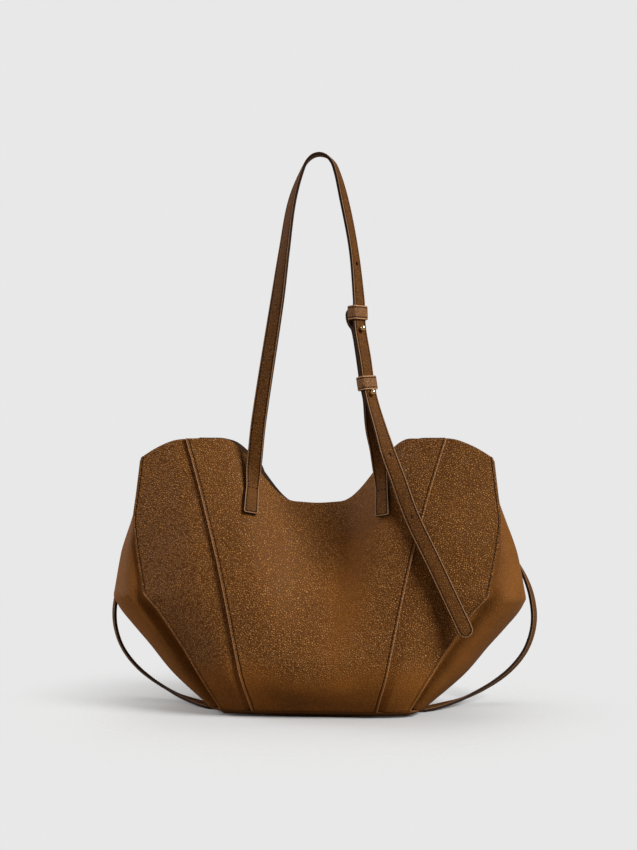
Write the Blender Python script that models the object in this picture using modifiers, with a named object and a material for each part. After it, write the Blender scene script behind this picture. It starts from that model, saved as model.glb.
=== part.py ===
"""Soft leather shopper bag with wings at both ends, one adjustable strap standing
up from the front panel, and a plain second strap that has fallen behind the bag,
bows out past both ends and runs under the base.

Lengths are in metres. +Z is up, the front faces -Y, and the origin lies on the
flat underside of the base, at the middle of the bag.
"""
from bisect import bisect_right
from math import cos, pi, radians, sin

import bmesh
import bpy
from mathutils import Matrix, Vector

# Body of the bag
BAG_HEIGHT = 0.268
BAG_HALF_WIDTH = 0.206
BELLY_DEPTH = 0.073
DIP_HEIGHT = 0.204
DIP_START = 0.022
DIP_END = 0.092
DIP_FLOOR = 0.030
DIP_FLOOR_SHARE = 0.03
CORNER_HEIGHT = 0.249
GUSSET_HEIGHT = 0.247
EDGE_LIFT = 0.0065
END_LIFT = 0.0050
LEATHER = 0.0018
SEAM_GAP = 0.0004
SEAM_LAP = 0.0050
BASE_MARGIN = 0.0014
RIDGE_STEP = 0.0014

# Flat underside, and the channel in it that the fallen strap runs through
FLAT_HALF_LENGTH = 0.084
FLAT_HALF_DEPTH = 0.043
TURN_LIFT = 0.0016
PASS_FORWARD = 0.0170
CHANNEL_CLEAR = 0.0008
STRAP_REST = 0.0002
CHANNEL_SIDE = 0.0025
CHANNEL_RAMP = 0.0030

# Straps and their fittings
STRAP_WIDTH = 0.0150
STRAP_THICK = 0.0030
STRAP_SEAT = 0.0006
STRAP_STEP = 0.0072
TIP_ROUND = 0.0075
TAB_ROUND = 0.0020
TAB_OUT = 0.0635
STUB_TAB_OUT = 0.0665
TAB_TOP = 0.222
TAB_LENGTH = 0.0265
HOOP_RISE = 0.2776
LAYER_GAP = 0.0006
HOLE_RADIUS = 0.0019
HOLE_PITCH = 0.0635
LAST_HOLE = 0.1250
HOLES = 5
LOWER_STUD_HOLE = 2
UPPER_STUD_HOLE = 3
STUD_NECK = 0.0013
STUD_BALL = 0.0029
KEEPER_WIDTH = 0.0135
KEEPER_WALL = 0.0018
KEEPER_CLEAR = 0.0005
KEEPER_ROUND = 0.0012
LOWER_STUD_CLEAR = 0.0005
UPPER_STUD_CLEAR = 0.0062

# Each line runs up the bag. level goes from 0 at the lower edge to 1 at the rim.
# out is a share of BAG_HALF_WIDTH and forward is a share of BELLY_DEPTH.
CENTRE_LINE = (
    # level, forward
    (0.00, 0.82),
    (0.08, 0.94),
    (0.16, 0.985),
    (0.27, 0.993),
    (0.40, 0.94),
    (0.52, 0.84),
    (0.64, 0.69),
    (0.76, 0.53),
    (0.88, 0.36),
    (1.00, 0.20),
)
SEAM_LINE = (
    # level, forward, out
    (0.00, 0.82, 0.294),
    (0.04, 0.89, 0.307),
    (0.13, 0.97, 0.339),
    (0.25, 1.00, 0.370),
    (0.40, 0.973, 0.409),
    (0.55, 0.92, 0.451),
    (0.70, 0.853, 0.501),
    (0.85, 0.753, 0.556),
    (1.00, 0.616, 0.616),
)
WING_EDGE = (
    # level, forward, out
    (0.00, 0.74, 0.447),
    (0.08, 0.795, 0.498),
    (0.16, 0.80, 0.555),
    (0.24, 0.80, 0.611),
    (0.32, 0.795, 0.676),
    (0.40, 0.775, 0.744),
    (0.44, 0.753, 0.789),
    (0.455, 0.74, 0.806),
    (0.475, 0.722, 0.814),
    (0.52, 0.697, 0.825),
    (0.58, 0.674, 0.839),
    (0.66, 0.647, 0.855),
    (0.75, 0.628, 0.867),
    (0.86, 0.61, 0.852),
    (1.00, 0.575, 0.832),
)
GUSSET_BELOW_FOLD = (
    # level, out
    (0.000, 0.530),
    (0.080, 0.641),
    (0.147, 0.723),
    (0.248, 0.818),
    (0.330, 0.900),
    (0.400, 0.966),
    (0.455, 1.000),
)
GUSSET_ABOVE_FOLD = (
    # level, out
    (0.455, 1.000),
    (0.508, 0.988),
    (0.575, 0.973),
    (0.638, 0.956),
    (0.697, 0.932),
    (0.748, 0.908),
    (0.827, 0.872),
    (0.902, 0.838),
    (1.000, 0.791),
)
FOLD_LEVEL = 0.455
FOLD_HEIGHT_SHARE = 0.43
LEVELS = (0, 0.035, 0.09, 0.16, 0.24, 0.32, 0.40, FOLD_LEVEL, 0.51, 0.58, 0.66, 0.74, 0.82, 0.91, 1)

# Free stretches of the standing strap, from the tail up and over to the left tab.
# out is a share of TAB_OUT, rise a share of HOOP_RISE above the rim's height,
# forward a share of BELLY_DEPTH, and turn the angle from facing forward towards
# facing out of the hoop.
HOOP_ROUTE = (
    # out, rise, forward, turn
    (1.235, -0.122, 0.775, 10),
    (1.120, -0.055, 0.735, 18),
    (0.990, 0.035, 0.668, 38),
    (0.836, 0.157, 0.600, 46),
    (0.756, 0.278, 0.565, 45),
    (0.677, 0.384, 0.535, 45),
    (0.662, 0.444, 0.525, 47),
    (0.660, 0.484, 0.515, 50),
    (0.580, 0.660, 0.480, 62),
    (0.433, 0.836, 0.455, 64),
    (0.290, 0.957, 0.440, 78),
    (0.180, 0.990, 0.440, 85),
    (0.050, 1.000, 0.440, 88),
    (-0.080, 0.990, 0.440, 86),
    (-0.190, 0.957, 0.445, 80),
    (-0.370, 0.836, 0.460, 60),
    (-0.490, 0.660, 0.480, 45),
    (-0.595, 0.484, 0.510, 28),
    (-0.870, 0.065, 0.570, 8),
    (-0.935, -0.075, 0.572, 2),
)
# The tail lies down the right wing. out is a share of BAG_HALF_WIDTH, height a
# share of BAG_HEIGHT, and lift the clear height over the leather, as a share of
# the strap's thickness. The tip goes straight on past the wing's ridge, by
# TAIL_REACH of the tail's last stretch.
TAIL_REACH = 0.73
TAIL_ROUTE = (
    # out, height, lift
    (0.640, 0.415, 0.85),
    (0.548, 0.570, 0.45),
    (0.456, 0.724, 0.55),
)
# The stub climbs from the right tab to the standing strap's back, in the same
# shares as the hoop.
STUB_RISE = (
    # out, rise, forward, turn
    (0.950, -0.045, 0.590, 3),
    (0.880, 0.030, 0.565, 16),
)
# The fallen strap, from its tab on the back down to the channel under the base.
# out is a share of BAG_HALF_WIDTH, height of BAG_HEIGHT, back of BELLY_DEPTH, and
# turn goes from facing back towards facing out of the loop.
FALLEN_ROUTE = (
    # out, height, back, turn
    (0.345, 0.895, 0.650, 5),
    (0.420, 0.925, 0.810, 24),
    (0.540, 0.895, 0.940, 42),
    (0.700, 0.790, 1.000, 58),
    (0.850, 0.655, 0.970, 74),
    (0.965, 0.535, 0.865, 90),
    (1.030, 0.435, 0.770, 103),
    (1.057, 0.340, 0.745, 109),
    (1.050, 0.262, 0.700, 110),
    (1.010, 0.185, 0.640, 110),
    (0.935, 0.118, 0.560, 110),
    (0.838, 0.067, 0.450, 109),
    (0.724, 0.030, 0.260, 107),
    (0.640, 0.0170, 0.060, 98),
)
PASS_SHARES = (1.25, 1.10, 0.60, 0.0)

LEATHER_COLOUR = (0.125, 0.058, 0.022, 1.0)
STRAP_COLOUR = (0.115, 0.052, 0.020, 1.0)
BASE_COLOUR = (0.060, 0.028, 0.012, 1.0)
BRASS_COLOUR = (0.75, 0.55, 0.25, 1.0)

for old in list(bpy.data.objects):
    bpy.data.objects.remove(old)


def new_collection(name):
    collection = bpy.data.collections.new(name)
    bpy.context.scene.collection.children.link(collection)
    return collection


BAG = new_collection("shopper_bag")
CUTTERS = new_collection("cutters")


def material(name, colour, roughness, metallic=0.0):
    made = bpy.data.materials.new(name)
    made.use_nodes = True
    shader = made.node_tree.nodes["Principled BSDF"]
    shader.inputs["Base Color"].default_value = colour
    shader.inputs["Roughness"].default_value = roughness
    shader.inputs["Metallic"].default_value = metallic
    return made


def strap_leather(name):
    return material(name + "_leather", STRAP_COLOUR, 0.5)


def add_object(name, mesh, finish, collection=BAG):
    made = bpy.data.objects.new(name, mesh)
    collection.objects.link(made)
    if finish:
        mesh.materials.append(finish)
    return made


def smooth(share):
    share = min(max(share, 0.0), 1.0)
    return share * share * (3 - 2 * share)


def mix(a, b, share):
    return a + (b - a) * share


def along(rows, at, column):
    """Smooth value of one column of a table, at a value of its first column."""
    at = min(max(at, rows[0][0]), rows[-1][0])
    last = len(rows) - 1
    here = min(max(bisect_right([row[0] for row in rows], at) - 1, 0), last - 1)

    def slope(index):
        before, after = max(index - 1, 0), min(index + 1, last)
        return (rows[after][column] - rows[before][column]) / (rows[after][0] - rows[before][0])

    low, high = rows[here], rows[here + 1]
    span = high[0] - low[0]
    t = (at - low[0]) / span
    return (
        (2 * t**3 - 3 * t**2 + 1) * low[column]
        + (t**3 - 2 * t**2 + t) * span * slope(here)
        + (3 * t**2 - 2 * t**3) * high[column]
        + (t**3 - t**2) * span * slope(here + 1)
    )


def centre_panel_point(share, level):
    """A point of the quarter skin from the centre line (0) to the panel seam (1)."""
    out = along(SEAM_LINE, level, 2) * share
    rim_out = SEAM_LINE[-1][2] * BAG_HALF_WIDTH * share
    steep = smooth((rim_out - DIP_START) / (DIP_END - DIP_START))
    rim = mix(DIP_HEIGHT, BAG_HEIGHT, mix(steep, smooth(rim_out / DIP_FLOOR), DIP_FLOOR_SHARE))
    forward = mix(along(CENTRE_LINE, level, 1), along(SEAM_LINE, level, 1), smooth(share))
    return out, forward, mix(EDGE_LIFT, rim, level)


def wing_point(share, level):
    """A point of the quarter skin from the panel seam (0) to the wing's edge (1)."""
    out = mix(along(SEAM_LINE, level, 2), along(WING_EDGE, level, 2), share)
    forward = mix(along(SEAM_LINE, level, 1), along(WING_EDGE, level, 1), share**1.8)
    rim = mix(BAG_HEIGHT, CORNER_HEIGHT, share**1.7)
    return out, forward, mix(EDGE_LIFT, rim, level)


def gusset_point(share, level):
    """A point of the quarter skin from the wing's edge (0) to the gusset's middle (1)."""
    rows = GUSSET_BELOW_FOLD if level < FOLD_LEVEL else GUSSET_ABOVE_FOLD
    middle = along(rows, level, 1)
    edge = along(WING_EDGE, level, 2)
    tuck = smooth((level - 0.62) / 0.33)
    angle = share * pi / 2
    out = mix(edge, middle, mix(sin(angle), smooth(share), tuck))
    forward = along(WING_EDGE, level, 1) * mix(cos(angle), 1 - share, tuck)
    if level < FOLD_LEVEL:
        climb = level / FOLD_LEVEL * FOLD_HEIGHT_SHARE
    else:
        climb = mix(FOLD_HEIGHT_SHARE, 1, (level - FOLD_LEVEL) / (1 - FOLD_LEVEL))
    lower = mix(EDGE_LIFT, END_LIFT, share)
    upper = mix(CORNER_HEIGHT, GUSSET_HEIGHT, share)
    return out, forward, mix(lower, upper, mix(level, climb, share))


def skin(place, level):
    """The outer skin. place runs round the bag, seen from above against the clock:
    0 front centre, 1 front seam, 2 wing edge, 3 gusset middle, 4 wing edge, 5 back
    seam, 6 back centre, and the same again on the left up to 12."""
    place %= 12
    quarter, rest = int(place // 3), place % 3
    share = rest if quarter in (0, 2) else 3 - rest
    side = 1 if quarter < 2 else -1
    face = -1 if quarter in (0, 3) else 1
    if share <= 1:
        out, forward, height = centre_panel_point(share, level)
    elif share <= 2:
        out, forward, height = wing_point(share - 1, level)
    else:
        out, forward, height = gusset_point(share - 2, level)
    return Vector((side * out * BAG_HALF_WIDTH, face * forward * BELLY_DEPTH, height))


def skin_normal(place, level, towards=1):
    """Outward normal, measured on the side of place that towards points to."""
    small = 0.002
    up = -small if level > 0.5 else small
    here = skin(place, level)
    across = (skin(place + small * towards, level) - here) * towards
    climb = (skin(place, level + up) - here) / up
    return across.cross(climb).normalized()


def under_skin(place, level, depth, towards=1):
    return skin(place, level) - skin_normal(place, level, towards) * depth


def lap_share(place, level, towards):
    """The width of a lapped margin, as a step of place."""
    step = 0.01
    return SEAM_LAP / (skin(place + step * towards, level) - skin(place, level)).length * step


def wall(name, columns, rows, locate, finish):
    """A leather wall: a grid of columns by rows put in place, then given thickness."""
    grid = bmesh.new()
    across, upward = len(columns) - 1, len(rows) - 1
    bmesh.ops.create_grid(grid, x_segments=across, y_segments=upward, size=0.5)
    for vertex in grid.verts:
        column = round((vertex.co.x + 0.5) * across)
        row = round((vertex.co.y + 0.5) * upward)
        vertex.co = locate(columns[column], rows[row])
    mesh = bpy.data.meshes.new(name)
    grid.to_mesh(mesh)
    grid.free()
    made = add_object(name, mesh, finish)
    thicken(made, LEATHER, -1)
    mesh.shade_smooth()
    mesh.set_sharp_from_angle(angle=radians(40))
    return made


def thicken(made, thickness, offset):
    solid = made.modifiers.new("wall", "SOLIDIFY")
    solid.thickness = thickness
    solid.offset = offset


def centre_panel(name, middle, finish):
    """The panel between the two seams; its folded edges lie over the wings."""
    shares = (0, 0.14, 0.27, 0.40, 0.53, 0.67, 0.83, 1)
    columns = [middle - share for share in reversed(shares)] + [middle + share for share in shares[1:]]
    return wall(name, columns, LEVELS, skin, finish)


def wing(name, seam, edge, finish):
    """A wing runs from under the centre panel's edge to its own free edge."""
    towards = 1 if edge > seam else -1
    step = LEATHER + SEAM_GAP

    def locate(share, level):
        if share < 0:
            return under_skin(seam - towards * lap_share(seam, level, -towards), level, step, towards)
        depth = step * (1 - smooth(share / 0.35))
        return under_skin(seam + towards * share, level, depth, -towards if share > 0.5 else towards)

    columns = [-1, 0, 0.12, 0.35, 0.58, 0.80, 1]
    if towards < 0:
        columns.reverse()
    return wall(name, columns, LEVELS, locate, finish)


def gusset(name, first, finish):
    """The end wall, lapped behind the edges of the two wings beside it."""
    step = LEATHER + SEAM_GAP

    def locate(share, level):
        proud = RIDGE_STEP * (1 - smooth((level - 0.38) / 0.12))
        mirrored = share > 1
        near = 2 - share if mirrored else share
        back = -1 if mirrored else 1
        start = first + 2 if mirrored else first
        if near < 0:
            place = start - back * lap_share(start, level, -back)
            return under_skin(place, level, step + proud, -back)
        if near == 0:
            return under_skin(start, level, step + proud, -back)
        depth = (step + proud) * (1 - smooth(near / 0.36))
        return under_skin(start + back * near, level, depth, back)

    half = (-1, 0, 0.16, 0.36, 0.58, 0.80)
    columns = list(half) + [1] + [2 - share for share in reversed(half)]
    return wall(name, columns, LEVELS, locate, finish)


def channel_lift(forward):
    """Height of the base over the strap that runs under it, at a place forward of the middle."""
    half = STRAP_WIDTH / 2 + CHANNEL_SIDE
    past = abs(forward - PASS_FORWARD) - half
    return (STRAP_THICK + CHANNEL_CLEAR) * min(max(1 - past / CHANNEL_RAMP, 0), 1)


def base_panel(finish):
    """The bottom: its edge meets the walls' lower edges, turns under and lies flat
    on the floor, apart from the channel over the fallen strap."""
    half = STRAP_WIDTH / 2 + CHANNEL_SIDE
    crossings = [PASS_FORWARD - half - CHANNEL_RAMP, PASS_FORWARD - half]
    crossings += [PASS_FORWARD + half, PASS_FORWARD + half + CHANNEL_RAMP]
    flat_share = 0.80

    def gusset_place(forward):
        low, high = 2.0, 3.0
        while high - low > 1e-7:
            middle = (low + high) / 2
            if abs(skin(middle, 0).y) * flat_share > forward:
                low = middle
            else:
                high = middle
        return low

    front = [0, 0.5, 1, 1.5, 1.8, 2, 2.3] + sorted(gusset_place(crossing) for crossing in crossings) + [3]
    back = [3, 3.35, 3.7, 4, 4.2, 4.5, 5, 5.5, 6]
    right = front + back[1:]
    left = [12 - place for place in reversed(right)]
    ring = right + left[1:-1]

    def below_edge(place, drop):
        """A point that carries on down from the wall's lower edge."""
        climb = (skin(place, 0.01) - skin(place, 0)).normalized()
        return skin(place, 0) - climb * drop

    def flat_point(place):
        point = skin(place, 0)
        x = min(max(point.x * 0.9, -FLAT_HALF_LENGTH), FLAT_HALF_LENGTH)
        y = min(max(point.y * flat_share, -FLAT_HALF_DEPTH), FLAT_HALF_DEPTH)
        return Vector((x, y, channel_lift(-y)))

    mesh = bmesh.new()
    rings = [[], [], [], []]
    for place in ring:
        edge = below_edge(place, SEAM_GAP)
        margin = below_edge(place, SEAM_GAP + BASE_MARGIN)
        flat = flat_point(place)
        turn = mix(flat, edge, 0.62)
        if abs(flat.y) < FLAT_HALF_DEPTH:
            turn.y = flat.y
        turn.z = max(TURN_LIFT, channel_lift(-turn.y))
        for made, point in zip(rings, (edge, margin, turn, flat)):
            made.append(mesh.verts.new(point))
    flats = rings[-1]
    for upper, lower in zip(rings, rings[1:]):
        for index in range(len(ring)):
            following = (index + 1) % len(ring)
            mesh.faces.new((upper[following], upper[index], lower[index], lower[following]))

    def strip(lowest, highest):
        """The flat's outline between two distances forward of the middle."""
        small = 1e-5
        inside = [v for v in flats if lowest - small <= -v.co.y <= highest + small]
        mesh.faces.new(sorted(inside, key=flats.index))

    bounds = [-FLAT_HALF_DEPTH] + crossings + [FLAT_HALF_DEPTH]
    for lowest, highest in zip(bounds, bounds[1:]):
        strip(lowest, highest)
    bmesh.ops.recalc_face_normals(mesh, faces=mesh.faces)
    if min(mesh.faces, key=lambda face: face.calc_center_median().z).normal.z > 0:
        bmesh.ops.reverse_faces(mesh, faces=mesh.faces)
    data = bpy.data.meshes.new("base_panel")
    mesh.to_mesh(data)
    mesh.free()
    made = add_object("base_panel", data, finish)
    thicken(made, LEATHER, -1)
    return made


def seat(out, height, lift):
    """A point over the front skin at a given place across and up, and its normal."""
    side = 1 if out > 0 else -1

    def place_at(level):
        low, high = 0.0, 2.0
        for _ in range(30):
            middle = (low + high) / 2
            if skin(middle, level).x < abs(out):
                low = middle
            else:
                high = middle
        return low

    low, high = 0.0, 1.0
    for _ in range(30):
        level = (low + high) / 2
        if skin(place_at(level), level).z < height:
            low = level
        else:
            high = level
    place = place_at(low) - 0.004
    normal = skin_normal(place, low)
    point = skin(place, low) + normal * lift
    return Vector((side * point.x, point.y, point.z)), Vector((side * normal.x, normal.y, normal.z))


def free_points(points, facing):
    """Places with a turn, made places with a normal. The turn goes from facing
    towards the outer side of the loop that the points make in the XZ plane."""
    made = []
    for index, (point, turn) in enumerate(points):
        before = points[max(index - 1, 0)][0]
        after = points[min(index + 1, len(points) - 1)][0]
        run = after - before
        outward = Vector((-run.z, 0, run.x)).normalized()
        angle = radians(turn)
        made.append((point, facing * cos(angle) + outward * sin(angle)))
    return made


class Route:
    """A strap's centre line through chosen points, with the face's normal along it."""

    def __init__(self, knots):
        self.samples = []
        pieces = 24
        for index in range(len(knots) - 1):
            window = [knots[min(max(index + k, 0), len(knots) - 1)] for k in (-1, 0, 1, 2)]
            for piece in range(pieces):
                t = piece / pieces
                self.samples.append(tuple(self.blend([w[k] for w in window], t, window) for k in (0, 1)))
        self.samples.append(knots[-1])
        self.distances = [0.0]
        for (before, _), (after, _) in zip(self.samples, self.samples[1:]):
            self.distances.append(self.distances[-1] + (after - before).length)
        self.length = self.distances[-1]

    @staticmethod
    def blend(values, t, window):
        """Cubic through the middle two of four values, with slopes by chord length."""
        spans = [max((b[0] - a[0]).length, 1e-6) for a, b in zip(window, window[1:])]
        start = (values[2] - values[0]) / (spans[0] + spans[1]) if spans[0] > 1e-5 else None
        end = (values[3] - values[1]) / (spans[1] + spans[2]) if spans[2] > 1e-5 else None
        chord = (values[2] - values[1]) / spans[1]
        start = (chord if start is None else start) * spans[1]
        end = (chord if end is None else end) * spans[1]
        return (
            (2 * t**3 - 3 * t**2 + 1) * values[1]
            + (t**3 - 2 * t**2 + t) * start
            + (3 * t**2 - 2 * t**3) * values[2]
            + (t**3 - t**2) * end
        )

    def at(self, distance):
        """Point, run and normal at a distance from the start."""
        distance = min(max(distance, 0.0), self.length)
        here = min(max(bisect_right(self.distances, distance) - 1, 0), len(self.samples) - 2)
        span = self.distances[here + 1] - self.distances[here]
        share = (distance - self.distances[here]) / span
        (low, low_normal), (high, high_normal) = self.samples[here], self.samples[here + 1]
        before = self.samples[max(here - 3, 0)][0]
        after = self.samples[min(here + 4, len(self.samples) - 1)][0]
        run = (after - before).normalized()
        normal = low_normal.lerp(high_normal, share)
        normal = (normal - run * normal.dot(run)).normalized()
        return low.lerp(high, share), run, normal

    def frame(self, distance, lift=0.0):
        """Placing matrix: X across the strap, Y along its run, Z out of its face."""
        point, run, normal = self.at(distance)
        across = run.cross(normal)
        turned = Matrix((across, run, normal)).transposed().to_4x4()
        return Matrix.Translation(point + normal * lift) @ turned


def strap(name, route, start_round, end_round, finish):
    """A flat strap along a route, its two ends rounded by the given lengths."""
    steps = round(route.length / STRAP_STEP)
    inner = [route.length * step / steps for step in range(1, steps)]
    inner = [d for d in inner if start_round * 1.3 < d < route.length - end_round * 1.3]
    arc = (0.0, 0.12, 0.4, 1.0)
    distances = [start_round * share for share in arc] + inner
    distances += [route.length - end_round * share for share in reversed(arc)]

    def half_width(distance):
        half = STRAP_WIDTH / 2
        for from_end, rounding in ((distance, start_round), (route.length - distance, end_round)):
            if from_end < rounding:
                short = 1 - from_end / rounding
                reach = min(rounding, half) * 0.94
                half = min(half, STRAP_WIDTH / 2 - reach * (1 - (1 - short**2) ** 0.5))
        return half

    grid = bmesh.new()
    bmesh.ops.create_grid(grid, x_segments=1, y_segments=len(distances) - 1, size=0.5)
    for vertex in grid.verts:
        row = round((vertex.co.y + 0.5) * (len(distances) - 1))
        distance = distances[row]
        place = Vector((2 * vertex.co.x * half_width(distance), 0, 0))
        vertex.co = route.frame(distance) @ place
    mesh = bpy.data.meshes.new(name)
    grid.to_mesh(mesh)
    grid.free()
    made = add_object(name, mesh, finish)
    thicken(made, STRAP_THICK, 0)
    mesh.shade_smooth()
    mesh.set_sharp_from_angle(angle=radians(40))
    return made


def tab_knots(low, high, out=TAB_OUT):
    """The sewn end of a strap on the front, from its lower end to its top."""
    lift = STRAP_SEAT + STRAP_THICK / 2
    return [seat(out, height, lift) for height in (low, (low + high) / 2, high)]


def mirrored(knots):
    flip = Vector((-1, 1, 1))
    return [(point * flip, normal * flip) for point, normal in knots]


def turned_round(knots):
    flip = Vector((1, -1, 1))
    return [(point * flip, normal * flip) for point, normal in knots]


def hoop_knots():
    points = []
    for out, rise, forward, turn in HOOP_ROUTE:
        point = Vector((out * TAB_OUT, -forward * BELLY_DEPTH, BAG_HEIGHT + rise * HOOP_RISE))
        points.append((point, -turn))
    # The hoop runs from right to left here, so its outer side is the other way.
    return free_points(points, Vector((0, -1, 0)))


def standing_route():
    """The long strap: tail tip, up through the keepers, over, and down to the left tab."""
    tail = [
        seat(out * BAG_HALF_WIDTH, height * BAG_HEIGHT, STRAP_THICK * (0.5 + lift))
        for out, height, lift in TAIL_ROUTE
    ]
    (lowest, facing), (before, _) = tail[:2]
    tail.insert(0, (lowest + (lowest - before) * TAIL_REACH, facing))
    tab = mirrored(tab_knots(TAB_TOP - TAB_LENGTH, TAB_TOP))
    return Route(tail + hoop_knots() + tab[::-1])


def stub_route(standing, lower_stud, upper_keeper):
    """The stub: right tab, up behind the long strap and the upper stud, then out
    behind the upper keeper."""
    tab = tab_knots(TAB_TOP - TAB_LENGTH - 0.002, TAB_TOP - 0.002, STUB_TAB_OUT)
    points = []
    for out, rise, forward, turn in STUB_RISE:
        point = Vector((out * TAB_OUT, -forward * BELLY_DEPTH, BAG_HEIGHT + rise * HOOP_RISE))
        points.append((point, turn))
    facing = Vector((0, -1, 0))
    climbing = [
        (point, facing * cos(radians(turn)) + Vector((sin(radians(turn)), 0, 0))) for point, turn in points
    ]
    layer = STRAP_THICK + LAYER_GAP
    behind_keeper = layer * 2 + KEEPER_WALL + 2 * KEEPER_CLEAR
    backs = (
        (lower_stud - KEEPER_WIDTH * 0.45, layer),
        (lower_stud + KEEPER_WIDTH * 0.70, layer),
        (mix(lower_stud, upper_keeper, 0.45), layer),
        (upper_keeper - KEEPER_WIDTH * 1.20, layer),
        (upper_keeper - KEEPER_WIDTH * 0.80, mix(layer, behind_keeper, 0.62)),
        (upper_keeper - KEEPER_WIDTH * 0.40, behind_keeper),
        (upper_keeper + KEEPER_WIDTH * 0.40, behind_keeper * 1.04),
    )
    for distance, depth in backs:
        point, _, normal = standing.at(distance)
        climbing.append((point - normal * depth, normal))
    return Route(tab + climbing)


def fallen_route():
    """The second strap: back right tab, over and down past the end, under the base
    along its channel, and the same again up to the back left tab."""
    tab = turned_round(tab_knots(TAB_TOP - TAB_LENGTH, TAB_TOP))
    points = []
    for out, height, back, turn in FALLEN_ROUTE:
        points.append((Vector((out * BAG_HALF_WIDTH, back * BELLY_DEPTH, height * BAG_HEIGHT)), turn))
    middle = STRAP_THICK / 2 + STRAP_REST
    down = Vector((0, 0, -1))
    channel = [(Vector((share * FLAT_HALF_LENGTH, -PASS_FORWARD, middle)), down) for share in PASS_SHARES]
    points.append((channel[0][0], 90))
    right = tab + free_points(points, Vector((0, 1, 0)))[:-1] + channel
    left = mirrored(right[:-1])
    return Route(right + left[::-1])


def keeper(name, frame, finish):
    """A leather loop round two layers of strap, its hollow along the run."""
    half_across = STRAP_WIDTH / 2 + KEEPER_CLEAR
    half_deep = STRAP_THICK + LAYER_GAP / 2 + KEEPER_CLEAR

    curve = bpy.data.curves.new(name, "CURVE")
    curve.dimensions = "2D"
    curve.fill_mode = "BOTH"
    curve.extrude = KEEPER_WIDTH / 2
    for extra, rounding in ((KEEPER_WALL, KEEPER_ROUND + KEEPER_WALL), (0, KEEPER_ROUND)):
        a, b = half_across + extra, half_deep + extra
        corners = []
        for quarter, (sx, sy) in enumerate(((1, 1), (-1, 1), (-1, -1), (1, -1))):
            for turn in (0, 45, 90):
                angle = radians(quarter * 90 + turn)
                x = sx * (a - rounding) + rounding * cos(angle)
                y = sy * (b - rounding) + rounding * sin(angle)
                corners.append((x, y))
        line = curve.splines.new("POLY")
        line.points.add(len(corners) - 1)
        for point, (x, y) in zip(line.points, corners):
            point.co = (x, y, 0, 1)
        line.use_cyclic_u = True
    made = add_object(name, curve, finish)
    # The outline's X stays across the strap, its Y goes out of the strap's face.
    upright = Matrix(((1, 0, 0, 0), (0, 0, -1, 0), (0, 1, 0, 0), (0, 0, 0, 1)))
    made.matrix_world = frame @ upright
    return made


def stud(name, frame, finish):
    """A turned brass stud: a neck through the strap's hole under a ball."""
    reach = LAYER_GAP / 2 + STRAP_THICK + SEAM_GAP
    centre = reach + STUD_BALL * 0.82
    rings = 7
    profile = []
    for step in range(rings + 1):
        angle = pi / 2 - step * radians(145) / rings
        profile.append((STUD_BALL * cos(angle), centre + STUD_BALL * sin(angle)))
    profile[0] = (0.0, centre + STUD_BALL)
    profile += [(STUD_NECK, reach), (STUD_NECK, 0.0), (0.0, 0.0)]
    outline = bmesh.new()
    verts = [outline.verts.new((radius, 0, height)) for radius, height in profile]
    for before, after in zip(verts, verts[1:]):
        outline.edges.new((before, after))
    mesh = bpy.data.meshes.new(name)
    outline.to_mesh(mesh)
    outline.free()
    made = add_object(name, mesh, finish)
    spin = made.modifiers.new("turn", "SCREW")
    spin.steps = 14
    spin.render_steps = 14
    spin.use_merge_vertices = True
    spin.merge_threshold = 0.00001
    made.matrix_world = frame
    return made


def pierce(target, route, distances):
    """Punched round holes through a strap."""
    for index, distance in enumerate(distances):
        punch = bmesh.new()
        bmesh.ops.create_cone(
            punch,
            cap_ends=True,
            segments=12,
            radius1=HOLE_RADIUS,
            radius2=HOLE_RADIUS,
            depth=STRAP_THICK * 3,
        )
        mesh = bpy.data.meshes.new(f"punch_{index + 1}")
        punch.to_mesh(mesh)
        punch.free()
        cutter = add_object(f"punch_{index + 1}", mesh, None, CUTTERS)
        cutter.matrix_world = route.frame(distance)
        cutter.hide_render = True
        cutter.display_type = "WIRE"
        cut = target.modifiers.new(f"hole_{index + 1}", "BOOLEAN")
        cut.operation = "DIFFERENCE"
        cut.object = cutter


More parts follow.
